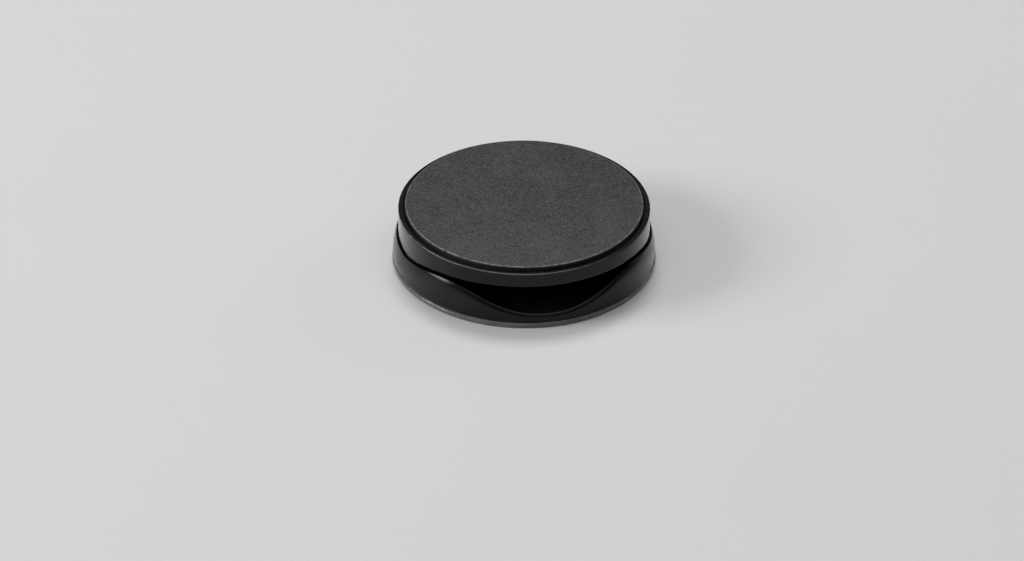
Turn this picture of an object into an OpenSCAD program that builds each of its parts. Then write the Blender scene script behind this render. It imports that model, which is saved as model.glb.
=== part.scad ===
// Flip-lid phone holder: a round puck that sticks to the back of a phone with a clear gel pad.
// The cup turns on the mount disc and the lid flips up on a hinge at the back of the cup.
// Origin: centre of the gel pad's underside. +Z points away from the phone, -Y is the finger scoop.

/* [Gel pad] */
// How far the gel pad reaches past the cup wall
pad_lip = 0.1; // [0.05:0.05:1]
// Thickness of the gel pad
pad_t = 0.95; // [0.6:0.05:3]
// Rounding of the gel pad's two edges
pad_round = 0.3; // [0.05:0.05:0.3]

/* [Swivel] */
// Thickness of the mount disc that the gel pad is stuck to
disc_t = 0.5; // [0.4:0.05:2]
// Gap between the mount disc and the cup wall around it
disc_gap = 0.3; // [0.2:0.05:1]
// Radius of the post that the cup turns on
post_r = 4; // [2.5:0.1:6]
// Running clearance between the post and the cup
post_run = 0.05; // [0.02:0.01:0.1]
// Mean radius of the glide ring between disc and cup
glide_r = 16; // [12:0.5:18]
// Width of the glide ring
glide_w = 3; // [1:0.5:4]
// Thickness of the glide ring
glide_t = 0.25; // [0.15:0.05:1]
// Play above the glide ring
glide_play = 0.05; // [0.03:0.01:0.1]
// Width of the boss round the post, on the cup floor
boss_w = 3; // [2:0.5:4]
// Height of that boss above the cup floor
boss_h = 0.65; // [0.4:0.05:2]
// Play between the boss and the hub washer
hub_play = 0.1; // [0.05:0.05:0.3]
// How far the hub washer laps over the boss
hub_washer_lap = 1.8; // [1:0.1:2]
// Thickness of the hub washer
hub_washer_t = 0.4; // [0.3:0.1:1]
// Radius of the hub screw's shank
hub_shank_r = 0.98; // [0.6:0.01:1.5]
// Radius of the hub screw's head
hub_head_r = 2.1; // [1.6:0.1:3]
// Height of the hub screw's head
hub_head_h = 0.8; // [0.6:0.1:2]
// Wall of the cap that snaps over the boss
cap_t = 0.5; // [0.3:0.1:1]
// Gap between the cap and the boss
cap_gap = 0.1; // [0.05:0.05:0.3]
// Room above the screw's head inside the cap
cap_room = 0.3; // [0.2:0.1:2]

/* [Cup] */
// Outer radius of the cup wall
cup_r = 21.85; // [18:0.05:30]
// Thickness of the cup wall
wall_t = 0.65; // [0.5:0.05:1.2]
// Gap between the foot of the wall and the gel pad
foot_gap = 0.2; // [0.1:0.05:0.4]
// Thickness of the cup floor
floor_t = 0.5; // [0.4:0.05:2]
// Height of the wall above the cup floor, at the sides and the back
wall_rise = 2.75; // [2.6:0.05:3]
// Height of the rounded shoulder at the top of that wall
shoulder_h = 2.2; // [0.5:0.1:2.3]
// How far the shoulder leans in
shoulder_in = 0.55; // [0.1:0.05:0.6]

/* [Finger scoop] */
// Height of the scoop's lowest point above the cup floor
scoop_lip = 0.25; // [0.05:0.05:1]
// Angle from the front at which the wall is highest, on both sides of the scoop
crest_angle = 47; // [40:1:52]
// How far the wall rises there above its height at the sides
crest_rise = 1.5; // [0.5:0.1:1.6]
// Angle from the front at which the wall is down to its side height again
side_angle = 85; // [78:1:88]
// How far forward the raised front's outer face is set, so that it runs out into the shoulder
crest_shift = 1.12; // [1:0.02:1.3]
// How quickly the scoop rises to its sides
scoop_power = 1.2; // [1:0.05:1.5]

/* [Lid] */
// Gap between the lid skirt and the cup wall
lid_gap = 0.25; // [0.2:0.05:0.6]
// Thickness of the lid skirt
skirt_t = 0.75; // [0.5:0.05:1.2]
// Height of the skirt's lower edge above the lid rests
skirt_gap = 0.1; // [0.1:0.05:0.5]
// Thickness of the lid's top plate
plate_t = 0.7; // [0.7:0.05:2]
// Thickness of the liner under the top plate
liner_t = 0.7; // [0.5:0.05:2]
// Gap between the liner and the skirt
liner_gap = 0.2; // [0.1:0.05:0.5]
// Width of the flat rim round the top pad
rim_w = 0.85; // [0.5:0.05:2]
// Depth of the recess that the top pad lies in
recess_d = 0.62; // [0.3:0.01:1.2]
// Rounding of the rim's outer edge
rim_round = 0.2; // [0.05:0.05:0.25]

/* [Front arch of the lid] */
// How far the front of the skirt hangs below the liner
arch_lip = 0.4; // [0.1:0.02:1]
// How much lower the edge is at the arch angle than in front
arch_drop = 1.22; // [0.5:0.02:2]
// Angle from the front at which that drop is reached
arch_angle = 59.7; // [50:0.1:65]
// How late the edge starts to drop
arch_power = 3.2; // [2:0.1:4]

/* [Top pad] */
// Width of the groove between the top pad and the rim
groove_w = 0.3; // [0.15:0.05:1]
// How far the top pad stands above the rim
pad_proud = 0.74; // [0.2:0.02:2]
// Rounding of the top pad's upper edge
top_round = 0.25; // [0.05:0.05:0.3]
// Thickness of the adhesive under the top pad
glue_t = 0.15; // [0.1:0.05:0.3]
// How far the adhesive stays back from the pad's edge
glue_back = 0.3; // [0.1:0.1:2]

/* [Lid hinge] */
// Radius of the hinge barrel
barrel_r = 1.3; // [1.1:0.05:1.4]
// Half the length of the hinge barrel
barrel_half = 7; // [6:0.1:7.2]
// Distance of the hinge axis from the cup's outer face
hinge_inset = 2.45; // [2.2:0.05:2.7]
// Height of the hinge axis above the top of the wall at the back
hinge_rise = 1.3; // [1.2:0.05:1.5]
// Clearance round the barrel as the lid turns
hinge_clear = 0.3; // [0.2:0.05:0.5]
// Radius of the hinge pin
pin_r = 0.7; // [0.5:0.01:0.8]
// Clearance of the pin in the cup's two ears
ear_fit = 0.02; // [0.01:0.01:0.05]
// Running clearance of the pin in the lid's knuckle
knuckle_fit = 0.06; // [0.02:0.01:0.1]
// How far the pin's ends lie inside the ears
pin_back = 0.2; // [0:0.05:0.5]
// Half the length of the lid's knuckle
knuckle_half = 4.7; // [3:0.1:5]
// Thickness of each friction washer
washer_t = 0.25; // [0.15:0.05:0.4]
// Side play between a friction washer and the knuckle
washer_play = 0.1; // [0.05:0.01:0.2]
// Clearance of the pin in the friction washers
washer_fit = 0.1; // [0.05:0.01:0.15]
// How far the friction washers stay inside the barrel's outline
washer_back = 0.05; // [0.02:0.01:0.1]
// Room for the lid at each end of the barrel
notch_room = 0.6; // [0.5:0.1:1]
// Depth of the notch in the back of the wall
notch_d = 0.9; // [0.8:0.05:1.1]

/* [Lid screws] */
// Radius of the lid screws' shanks
shank_r = 0.6; // [0.4:0.05:0.8]
// Radius of the lid screws' heads
head_r = 1.3; // [1:0.05:1.6]
// Height of the lid screws' conical heads
head_h = 0.5; // [0.3:0.05:0.6]
// Wall of the bosses that the lid screws go into
screw_wall = 1; // [0.7:0.1:1.5]
// Depth of those bosses below the liner
screw_depth = 1.2; // [0.8:0.1:2]
// Distance of the front screws from the middle line
front_x = 14; // [12:0.5:15]
// How far in front of the centre the front screws sit
front_y = 3; // [0:0.5:6]
// Distance of the back screws from the middle line
back_x = 10.5; // [9:0.5:12]
// How far behind the centre the back screws sit
back_y = 11.5; // [9:0.5:12]

/* [Hidden] */
$fn = 128;
// overlap that makes cuts run clean through
cut = 0.5;
// clearance that stands for a cut thread
thread_gap = 0.02;
// gap round a countersunk head, and how far it lies below the surface
sink_gap = 0.05;
// floor left under the blind hole in the post
hole_floor = 0.2;
// width and depth of a driver slot, and its length as a share of the head's radius
slot_w = 0.4;
slot_d = 0.4;
slot_share = 1.25;
// width of a lid rest and the angles from the back at which the rests stand
rest_w = 2;
rest_h = 1.25;
rest_angles = [50, 110, 250, 310];
// how far the web under an ear reaches past the hinge axis
ear_back = 1;
// how far the knuckle's web stays inside the liner's edge
web_back = 0.05;
// the arch of the skirt ends within this angle from the front
arch_limit = 88;
// how far below the side height the curve behind a crest runs out
run_out = 0.15;
// steps along the wall's edge and the arch, and along a rounded edge
cup_steps = 84;
wave_steps = 48;
round_steps = 6;

// heights, from the phone upwards
disc_top = pad_t + disc_t;
floor_under = disc_top + glide_t + glide_play;
floor_top = floor_under + floor_t;
boss_top = floor_top + boss_h;
post_top = boss_top + hub_play;
head_base = post_top + hub_washer_t;
cap_ceiling = head_base + hub_head_h + cap_room;
wall_top = floor_top + wall_rise;
crest_z = wall_top + crest_rise;
rest_top = floor_top + rest_h;
skirt_bottom = rest_top + skirt_gap;
hinge_z = wall_top + hinge_rise;
liner_under = hinge_z + barrel_r + hinge_clear;
plate_under = liner_under + liner_t;
recess_z = plate_under + plate_t;
rim_top = recess_z + recess_d;
pad_top = rim_top + pad_proud;
foot_z = pad_t + foot_gap;
scoop_low = floor_top + scoop_lip;
arch_front = liner_under - arch_lip;
notch_z = wall_top - notch_d;
shank_z = liner_under - screw_depth + hole_floor + sink_gap;

// radii and distances, from the axis outwards
// raised_r puts the raised front's outer face on the wall's own at the crests
// sink_r keeps the countersink parallel to the screw's head
pad_r = cup_r + pad_lip;
cup_inner = cup_r - wall_t;
raised_r = sqrt(pow(cup_r, 2) + pow(crest_shift, 2) - 2 * cup_r * crest_shift * cos(crest_angle));
disc_r = cup_inner - disc_gap;
lid_r = cup_inner - lid_gap;
skirt_inner = lid_r - skirt_t;
liner_r = skirt_inner - liner_gap;
recess_r = lid_r - rim_w;
top_r = recess_r - groove_w;
boss_r = post_r + boss_w;
cap_inner = boss_r + cap_gap;
hinge_y = cup_r - hinge_inset;
ear_half = knuckle_half + washer_play + washer_t;
notch_half = barrel_half + notch_room;
sink_r = shank_r + sink_gap + (head_r - shank_r) * (head_h + 2 * sink_gap) / head_h;

// a quarter turn of profile points from one angle to another, about a centre
function arc(c, rx, rz, from, to) =
    [for (i = [0:round_steps]) let (a = from + (to - from) * i / round_steps)
        [c[0] + rx * cos(a), c[1] + rz * sin(a)]];

// height of the scoop's edge at an angle b from the front
function scoop_z(b) =
    scoop_low + (crest_z - scoop_low) * (1 - cos(180 * pow(b / crest_angle, scoop_power))) / 2;

// height of the wall's edge behind a crest, down to the side height
function fall_z(b) = max(wall_top, crest_z - (crest_rise + run_out) *
    (1 - cos(180 * (b - crest_angle) / (side_angle - crest_angle))) / 2);

// height of the wall's edge at an angle from the front, to either side
function wall_z(a) = abs(a) < crest_angle ? scoop_z(abs(a)) : fall_z(abs(a));

// height of the lid's lower edge at an angle from the front
function arch_z(a) = arch_front - arch_drop * pow(abs(a) / arch_angle, arch_power);

// angle from the front at which the arch meets the skirt's lower edge
arch_end = min(arch_limit, arch_angle * pow((arch_front - skirt_bottom) / arch_drop, 1 / arch_power));

// a cutter for the front of a ring: its edge follows the given heights, and it reaches to far_z
module wave_cutter(half, heights, r_in, r_out, far_z) {
    n = len(heights) - 1;
    up = far_z > heights[0];
    function spoke(i, r, z) = let (a = half * (2 * i / n - 1)) [r * sin(a), -r * cos(a), z];
    points = [for (i = [0:n]) each [spoke(i, r_in, heights[i]), spoke(i, r_out, heights[i]),
                                    spoke(i, r_out, far_z), spoke(i, r_in, far_z)]];
    sides = [for (i = [0:n - 1], k = [0:3])
        let (a = 4 * i + k, b = 4 * i + (k + 1) % 4, c = b + 4, d = a + 4) each [[a, b, c], [a, c, d]]];
    ends = [[3, 2, 1, 0], [4 * n, 4 * n + 1, 4 * n + 2, 4 * n + 3]];
    faces = concat(sides, ends);
    polyhedron(points, up ? faces : [for (f = faces) [for (j = [len(f) - 1:-1:0]) f[j]]]);
}

// a bar along the hinge axis, from one x to another
module hinge_rod(r, from, to) {
    translate([from, hinge_y, hinge_z]) rotate([0, 90, 0]) cylinder(r = r, h = to - from);
}

module gel_pad() {
    color([0.78, 0.79, 0.8, 0.5])
    rotate_extrude() polygon(concat([[0, 0]],
        arc([pad_r - pad_round, pad_round], pad_round, pad_round, -90, 0),
        arc([pad_r - pad_round, pad_t - pad_round], pad_round, pad_round, 0, 90),
        [[0, pad_t]]));
}

module mount_disc() {
    color([0.09, 0.09, 0.1])
    difference() {
        union() {
            translate([0, 0, pad_t]) cylinder(r = disc_r, h = disc_t);
            translate([0, 0, pad_t]) cylinder(r = post_r, h = post_top - pad_t);
        }
        translate([0, 0, pad_t + hole_floor])
            cylinder(r = hub_shank_r + thread_gap, h = post_top - pad_t);
    }
}

module glide_ring() {
    color([0.85, 0.85, 0.82])
    translate([0, 0, disc_top]) difference() {
        cylinder(r = glide_r + glide_w / 2, h = glide_t);
        translate([0, 0, -cut]) cylinder(r = glide_r - glide_w / 2, h = glide_t + 2 * cut);
    }
}

module hub_washer() {
    color([0.66, 0.67, 0.69])
    translate([0, 0, post_top]) difference() {
        cylinder(r = post_r + hub_washer_lap, h = hub_washer_t);
        translate([0, 0, -cut]) cylinder(r = hub_shank_r + sink_gap, h = hub_washer_t + 2 * cut);
    }
}

module hub_screw() {
    color([0.6, 0.61, 0.63])
    difference() {
        union() {
            translate([0, 0, head_base]) cylinder(r = hub_head_r, h = hub_head_h);
            translate([0, 0, pad_t + hole_floor + sink_gap])
                cylinder(r = hub_shank_r, h = head_base - pad_t - hole_floor - sink_gap);
        }
        translate([0, 0, head_base + hub_head_h]) driver_cross(hub_head_r);
    }
}

// the cross for a screwdriver, cut into the top of a head
module driver_cross(r) {
    for (a = [0, 90]) rotate([0, 0, a]) cube([slot_share * r, slot_w, 2 * slot_d], center = true);
}

// wall, floor and the boss round the post, turned as one section
module cup_body() {
    rotate_extrude() polygon(concat(
        [[post_r + post_run, floor_under], [cup_inner, floor_under], [cup_inner, foot_z], [cup_r, foot_z]],
        arc([cup_r - shoulder_in, wall_top - shoulder_h], shoulder_in, shoulder_h, 0, 90),
        [[cup_inner, wall_top], [cup_inner, floor_top], [boss_r, floor_top], [boss_r, boss_top],
         [post_r + post_run, boss_top]]));
}

// the part of the wall round the scoop that stands higher than the sides
module raised_front() {
    difference() {
        intersection() {
            cylinder(r = cup_r, h = crest_z);
            translate([0, -crest_shift, floor_top]) cylinder(r = raised_r, h = crest_z - floor_top);
        }
        cylinder(r = cup_inner, h = crest_z + cut);
    }
}

// one ear of the hinge, on the side given by 1 or -1
module ear(side) {
    length = barrel_half - ear_half;
    from = side > 0 ? ear_half : -barrel_half;
    hinge_rod(barrel_r, from, from + length);
    translate([from, hinge_y - barrel_r, floor_under])
        cube([length, barrel_r + ear_back, hinge_z - floor_under]);
}

// the low blocks beside the wall that the closed lid comes down on
module lid_rests() {
    intersection() {
        for (a = rest_angles) rotate([0, 0, a])
            translate([-rest_w / 2, skirt_inner - cut, floor_under])
                cube([rest_w, wall_t + lid_gap + skirt_t + cut, rest_top - floor_under]);
        cylinder(r = cup_inner + wall_t / 2, h = pad_top);
    }
}

module base_cup() {
    color([0.07, 0.07, 0.075])
    difference() {
        union() {
            difference() {
                union() {
                    cup_body();
                    raised_front();
                }
                wave_cutter(side_angle,
                    [for (i = [0:cup_steps]) wall_z(side_angle * (2 * i / cup_steps - 1))],
                    cup_inner - cut, cup_r + cut, crest_z + cut);
                translate([-notch_half, 0, notch_z]) cube([2 * notch_half, cup_r + cut, wall_top]);
            }
            for (side = [-1, 1]) ear(side);
            lid_rests();
        }
        hinge_rod(pin_r + ear_fit, -barrel_half - cut, barrel_half + cut);
    }
}

module hub_cap() {
    color([0.08, 0.08, 0.085])
    rotate_extrude() polygon(concat(
        [[0, cap_ceiling], [cap_inner, cap_ceiling], [cap_inner, floor_top],
         [cap_inner + cap_t, floor_top]],
        arc([cap_inner, cap_ceiling], cap_t, cap_t, 0, 90),
        [[0, cap_ceiling + cap_t]]));
}

module hinge_pin() {
    color([0.62, 0.63, 0.65])
    hinge_rod(pin_r, -barrel_half + pin_back, barrel_half - pin_back);
}

module hinge_washers() {
    color([0.55, 0.56, 0.58])
    for (from = [-ear_half, ear_half - washer_t]) difference() {
        hinge_rod(barrel_r - washer_back, from, from + washer_t);
        hinge_rod(pin_r + washer_fit, from - cut, from + washer_t + cut);
    }
}

// puts its children at the four screws of the lid
module at_lid_screws() {
    for (p = [[front_x, -front_y], [back_x, back_y]], side = [-1, 1]) translate([side * p[0], p[1], 0])
        children();
}

module lid_liner() {
    color([0.08, 0.08, 0.085])
    difference() {
        union() {
            translate([0, 0, liner_under]) cylinder(r = liner_r, h = liner_t);
            hinge_rod(barrel_r, -knuckle_half, knuckle_half);
            intersection() {
                translate([-knuckle_half, hinge_y - barrel_r, hinge_z])
                    cube([2 * knuckle_half, barrel_r + pin_r / 2, liner_under + liner_t / 2 - hinge_z]);
                cylinder(r = liner_r - web_back, h = pad_top);
            }
            at_lid_screws() translate([0, 0, liner_under - screw_depth])
                cylinder(r = shank_r + screw_wall, h = screw_depth + liner_t / 2);
        }
        hinge_rod(pin_r + knuckle_fit, -knuckle_half - cut, knuckle_half + cut);
        at_lid_screws() translate([0, 0, liner_under - screw_depth + hole_floor])
            cylinder(r = shank_r + thread_gap, h = screw_depth + liner_t);
    }
}

module lid_shell() {
    color([0.1, 0.1, 0.105])
    difference() {
        rotate_extrude() polygon(concat(
            [[0, plate_under], [skirt_inner, plate_under], [skirt_inner, skirt_bottom],
             [lid_r, skirt_bottom]],
            arc([lid_r - rim_round, rim_top - rim_round], rim_round, rim_round, 0, 90),
            arc([recess_r + rim_round / 2, rim_top - rim_round / 2], rim_round / 2, rim_round / 2, 90, 180),
            [[recess_r, recess_z], [0, recess_z]]));
        wave_cutter(arch_end,
            [for (i = [0:wave_steps]) arch_z(arch_end * (2 * i / wave_steps - 1))],
            skirt_inner - cut, lid_r + cut, skirt_bottom - cut);
        translate([-notch_half, 0, skirt_bottom - cut])
            cube([2 * notch_half, lid_r + cut, liner_under - skirt_bottom + cut]);
        at_lid_screws() {
            translate([0, 0, plate_under - cut]) cylinder(r = shank_r + sink_gap, h = plate_t + cut);
            translate([0, 0, recess_z - head_h - sink_gap])
                cylinder(r1 = shank_r + sink_gap, r2 = sink_r, h = head_h + 2 * sink_gap);
        }
    }
}

module lid_screws() {
    color([0.6, 0.61, 0.63])
    at_lid_screws() difference() {
        union() {
            translate([0, 0, recess_z - head_h - sink_gap])
                cylinder(r1 = shank_r, r2 = head_r, h = head_h);
            translate([0, 0, shank_z]) cylinder(r = shank_r, h = recess_z - head_h - shank_z);
        }
        translate([0, 0, recess_z - sink_gap]) driver_cross(head_r);
    }
}

module top_adhesive() {
    color([0.2, 0.2, 0.2])
    translate([0, 0, recess_z]) cylinder(r = top_r - glue_back, h = glue_t);
}

module top_pad() {
    color([0.24, 0.24, 0.245])
    rotate_extrude() polygon(concat(
        [[0, recess_z + glue_t], [top_r, recess_z + glue_t]],
        arc([top_r - top_round, pad_top - top_round], top_round, top_round, 0, 90),
        [[0, pad_top]]));
}

gel_pad();
mount_disc();
glide_ring();
hub_washer();
hub_screw();
base_cup();
hub_cap();
hinge_pin();
hinge_washers();
lid_liner();
lid_shell();
lid_screws();
top_adhesive();
top_pad();
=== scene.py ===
"""Dresses the flip-lid phone holder: finishes, rounded mouldings, studio and camera."""

import logging
import math
from collections.abc import Callable, Sequence
from dataclasses import dataclass, field
from enum import Enum
from typing import ClassVar

import bpy
from mathutils import Matrix, Vector


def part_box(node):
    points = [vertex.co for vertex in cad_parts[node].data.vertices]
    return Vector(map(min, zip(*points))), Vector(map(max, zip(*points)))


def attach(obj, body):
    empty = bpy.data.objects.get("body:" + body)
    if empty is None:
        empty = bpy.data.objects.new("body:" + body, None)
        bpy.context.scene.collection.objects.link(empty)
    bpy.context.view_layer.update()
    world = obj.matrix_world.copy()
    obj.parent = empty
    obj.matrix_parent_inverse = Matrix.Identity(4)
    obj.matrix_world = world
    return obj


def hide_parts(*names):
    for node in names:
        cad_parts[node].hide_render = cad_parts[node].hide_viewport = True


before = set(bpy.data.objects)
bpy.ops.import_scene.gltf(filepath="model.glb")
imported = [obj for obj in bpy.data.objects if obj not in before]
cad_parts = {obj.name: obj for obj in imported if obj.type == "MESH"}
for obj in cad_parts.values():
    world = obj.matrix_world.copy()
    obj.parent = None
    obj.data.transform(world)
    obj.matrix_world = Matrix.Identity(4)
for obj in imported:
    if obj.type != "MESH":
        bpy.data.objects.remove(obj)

LOG = logging.getLogger("holder")
MM = 0.001
FULL_TURN = 2 * math.pi
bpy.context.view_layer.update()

Piece = bpy.types.Object
Material = bpy.types.Material
Socket = bpy.types.NodeSocket
Point = tuple[float, float]
Triple = tuple[float, float, float]
Colour = Triple


class Body(Enum):
    """The three groups of pieces that move as one."""

    MOUNT = "mount"
    CUP = "cup"
    LID = "lid"


class Slot(Enum):
    """The record's material slots that the new pieces take."""

    GEL = "clear_gel"
    CUP = "cup_plastic"
    LID = "lid_plastic"
    INNER = "inner_plastic"
    PAD = "textured_pad"


class Value:
    """A shader socket that Python arithmetic works on, by adding Math nodes."""

    def __init__(self, tree: bpy.types.NodeTree, socket: Socket) -> None:
        """Wraps one output socket of a tree."""
        self.tree = tree
        self.socket = socket

    def _math(self, operation: str, *others: "Value | float", clamp: bool = False) -> "Value":
        """Adds one Math node.

        Args:
            operation: The Math node's operation.
            others: Its second and third inputs.
            clamp: Whether the result is held between 0 and 1.

        Returns:
            The node's result.
        """
        math_node = self.tree.nodes.new("ShaderNodeMath")
        math_node.operation = operation
        math_node.use_clamp = clamp
        self.tree.links.new(self.socket, math_node.inputs[0])
        for socket, other in zip(math_node.inputs[1:], others):
            if isinstance(other, Value):
                self.tree.links.new(other.socket, socket)
            else:
                socket.default_value = other
        return Value(self.tree, math_node.outputs[0])

    def __add__(self, other: "Value | float") -> "Value":
        """self + other."""
        return self._math("ADD", other)

    __radd__ = __add__

    def __sub__(self, other: "Value | float") -> "Value":
        """self - other."""
        return self._math("SUBTRACT", other)

    def __rsub__(self, other: float) -> "Value":
        """other - self."""
        return self._math("MULTIPLY_ADD", -1.0, other)

    def __mul__(self, other: "Value | float") -> "Value":
        """self * other."""
        return self._math("MULTIPLY", other)

    __rmul__ = __mul__

    def __truediv__(self, other: "Value | float") -> "Value":
        """self / other."""
        return self._math("DIVIDE", other)

    def __pow__(self, other: float) -> "Value":
        """self to a power."""
        return self._math("POWER", other)

    def __abs__(self) -> "Value":
        """The size of self without its sign."""
        return self._math("ABSOLUTE")

    def sine(self) -> "Value":
        """The sine of self, in radians."""
        return self._math("SINE")

    def at_most(self, limit: float) -> "Value":
        """The value, or the limit where that is smaller."""
        return self._math("MINIMUM", limit)

    def between(self, low: float, high: float) -> "Value":
        """Rises from 0 to 1 as self goes from low to high, and is held there."""
        return ((self - low) / (high - low))._math("MULTIPLY", 1.0, clamp=True)

    def near(self, centre: float, reach: float) -> "Value":
        """1 where self is at centre, falling to 0 at reach away from it."""
        return (1.0 - abs(self - centre) / reach)._math("MULTIPLY", 1.0, clamp=True)

    def over(self, other: "Value") -> "Value":
        """The angle of the point (other, self) round the origin, in radians."""
        return self._math("ARCTAN2", other)


class Shader:
    """One node material under construction, with a Principled BSDF at its end."""

    def __init__(self, name: str) -> None:
        """Starts a material with an empty tree, a shader and its output.

        Args:
            name: The material's name.
        """
        self.material = bpy.data.materials.new(name)
        self.material.use_nodes = True
        self.tree = self.material.node_tree
        self.tree.nodes.clear()
        self.surface = self.node("ShaderNodeBsdfPrincipled")
        self.node("ShaderNodeOutputMaterial", {}, {"Surface": self.surface.outputs[0]})
        self.coordinates = self.node("ShaderNodeTexCoord").outputs["Object"]

    def node(
        self,
        kind: str,
        settings: dict[str, object] | None = None,
        inputs: dict[str | int, object] | None = None,
    ) -> bpy.types.Node:
        """Adds any node.

        Args:
            kind: The node's type.
            settings: Properties that are set first.
            inputs: Values or links of its sockets, by name or number.

        Returns:
            The new node.
        """
        made = self.tree.nodes.new(kind)
        for key, value in (settings or {}).items():
            setattr(made, key, value)
        for key, value in (inputs or {}).items():
            if isinstance(value, Value):
                value = value.socket
            if isinstance(value, Socket):
                self.tree.links.new(value, made.inputs[key])
            else:
                made.inputs[key].default_value = value
        return made

    def value(self, made: bpy.types.Node, output: int | str = 0) -> Value:
        """One output of a node as a value."""
        return Value(self.tree, made.outputs[output])

    def radius(self) -> Value:
        """The distance of a place from the Z axis, in metres."""
        x, y, _ = self.axes()
        return (x * x + y * y) ** 0.5

    def axes(self) -> tuple[Value, Value, Value]:
        """The object coordinates x, y and z, in metres."""
        split = self.node("ShaderNodeSeparateXYZ", {}, {0: self.coordinates})
        return self.value(split, 0), self.value(split, 1), self.value(split, 2)

    def noise(self, size_mm: float, detail: float = 2.0, roughness: float = 0.5) -> Value:
        """Adds noise over the object's coordinates.

        Args:
            size_mm: Width of its lumps, about.
            detail: Its number of finer layers.
            roughness: How strong the finer layers are.

        Returns:
            The noise, from 0 to 1.
        """
        scale = 1 / (size_mm * MM)
        inputs = {"Vector": self.coordinates, "Scale": scale, "Detail": detail, "Roughness": roughness}
        return self.value(self.node("ShaderNodeTexNoise", {}, inputs), "Fac")

    def blend(self, factor: Value, low: Colour | Socket, high: Colour | Socket) -> Socket:
        """Mixes two colours.

        Args:
            factor: How far the mix has gone from low to high.
            low: A colour, or the socket of one.
            high: The other.

        Returns:
            The mixed colour's socket.
        """
        ends = [(*end, 1.0) if isinstance(end, tuple) else end for end in (low, high)]
        made = self.node("ShaderNodeMix", {"data_type": "RGBA"}, {"Factor": factor, 6: ends[0], 7: ends[1]})
        return made.outputs[2]

    def bump(self, height: Value, depth_mm: float) -> None:
        """Feeds a height into the shader's normal, with the depth of a height of 1."""
        made = self.node("ShaderNodeBump", {}, {"Distance": depth_mm * MM, "Height": height})
        self.tree.links.new(made.outputs[0], self.surface.inputs["Normal"])

    def varying(self, **links: Value | Socket) -> None:
        """Links values that change over the surface.

        Args:
            links: What goes into each socket, by its name with _ for a space.
        """
        for key, value in links.items():
            socket = value.socket if isinstance(value, Value) else value
            self.tree.links.new(socket, self.surface.inputs[key.replace("_", " ")])

    def constant(self, **values: float | tuple[float, ...]) -> None:
        """Sets the shader's own sockets, by name with _ for a space."""
        for key, value in values.items():
            self.surface.inputs[key.replace("_", " ")].default_value = value


@dataclass(frozen=True)
class Finish:
    """What a surface looks like: one procedural material."""

    name: str

    def paint(self, shader: Shader) -> None:
        """Adds the nodes of the finish to an empty material."""
        raise NotImplementedError

    def material(self) -> Material:
        """Builds the material.

        Returns:
            The material.
        """
        shader = Shader(self.name)
        self.paint(shader)
        return shader.material


@dataclass(frozen=True)
class MouldedPlastic(Finish):
    """Satin black moulded plastic: a fine spark-eroded grain, soft sheen and handling marks, with nicks and
    a painted highlight along a given rim's edge.
    """

    colour: Colour = (0.003, 0.003, 0.0032)
    dusty: Colour = (0.007, 0.007, 0.0074)
    dust_range: Point = (0.45, 0.8)
    roughness: float = 0.27
    roughness_spread: float = 0.1
    specular: float = 0.26
    sheen: float = 0.6
    sheen_range: Point = (0.42, 0.85)
    sheen_roughness: float = 0.16
    grain_mm: float = 0.09
    grain_depth_mm: float = 0.0035
    cloud_mm: float = 6.0
    # pale colour of the rim's nicks and of its painted highlight
    worn_and_highlight: Colour = (0.22, 0.22, 0.22)
    wear_and_highlight_rim: Point | None = None
    wear_and_highlight_width_mm: float = 0.2
    wear_and_highlight_lift: float = 4.0
    nick_mm: float = 0.35
    nick_range: Point = (0.52, 0.6)
    nicked_arc: Point = (-165.0, 40.0)
    nicked_full: float = 0.6
    rim_highlight_arc: Point = (-118.0, 75.0)
    rim_highlight_full: float = 0.7
    rim_highlight_share: float = 0.35
    edge_range: Point = (0.05, 0.5)

    def paint(self, shader: Shader) -> None:
        """Adds the nodes of this finish.

        Args:
            shader: The material under construction.
        """
        cloud = shader.noise(self.cloud_mm, detail=4.0, roughness=0.6)
        grain = shader.noise(self.grain_mm, detail=1.0)
        colour = shader.blend(cloud.between(*self.dust_range), self.colour, self.dusty)
        height = grain
        if self.wear_and_highlight_rim:
            wear_and_highlight = self._wear_and_highlight(shader, *self.wear_and_highlight_rim)
            # nicks and a painted highlight lighten the rim's edge
            colour = shader.blend(wear_and_highlight, colour, self.worn_and_highlight)
            height = grain + wear_and_highlight * self.wear_and_highlight_lift
        slant = shader.value(shader.node("ShaderNodeLayerWeight", None, {"Blend": 0.5}), "Facing")
        shader.varying(
            Base_Color=colour,
            Roughness=self.roughness + (cloud - 0.5) * self.roughness_spread,
            Coat_Weight=slant.between(*self.sheen_range) * self.sheen,
        )
        shader.constant(Specular_IOR_Level=self.specular, Coat_Roughness=self.sheen_roughness)
        shader.bump(height, self.grain_depth_mm)

    def _wear_and_highlight(self, shader: Shader, rim_r: float, rim_z: float) -> Value:
        """Works out where the rim's outer edge is nicked, and where it is lightened as a painted highlight
        that is strongest on the left and front.

        Args:
            shader: The material under construction.
            rim_r: Radius of the edge in millimetres.
            rim_z: Its height in millimetres.

        Returns:
            How strong the nicks and the painted highlight are at a place, from 0 to 1.
        """
        x, y, z = shader.axes()
        width = self.wear_and_highlight_width_mm * MM
        edge = shader.radius().near(rim_r * MM, width) * z.near(rim_z * MM, width)
        around = y.over(x)
        nicked = around.near(*map(math.radians, self.nicked_arc)).between(0.0, self.nicked_full)
        nicks = shader.noise(self.nick_mm, detail=3.0, roughness=0.7).between(*self.nick_range)
        # painted highlight: the rim's edge is lightened over an arc on the left and front
        rim_highlight = around.near(*map(math.radians, self.rim_highlight_arc)).between(0.0, self.rim_highlight_full)
        worn_and_highlight = (nicked * nicks + rim_highlight * self.rim_highlight_share).at_most(1.0)
        return edge.between(*self.edge_range) * worn_and_highlight


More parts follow.
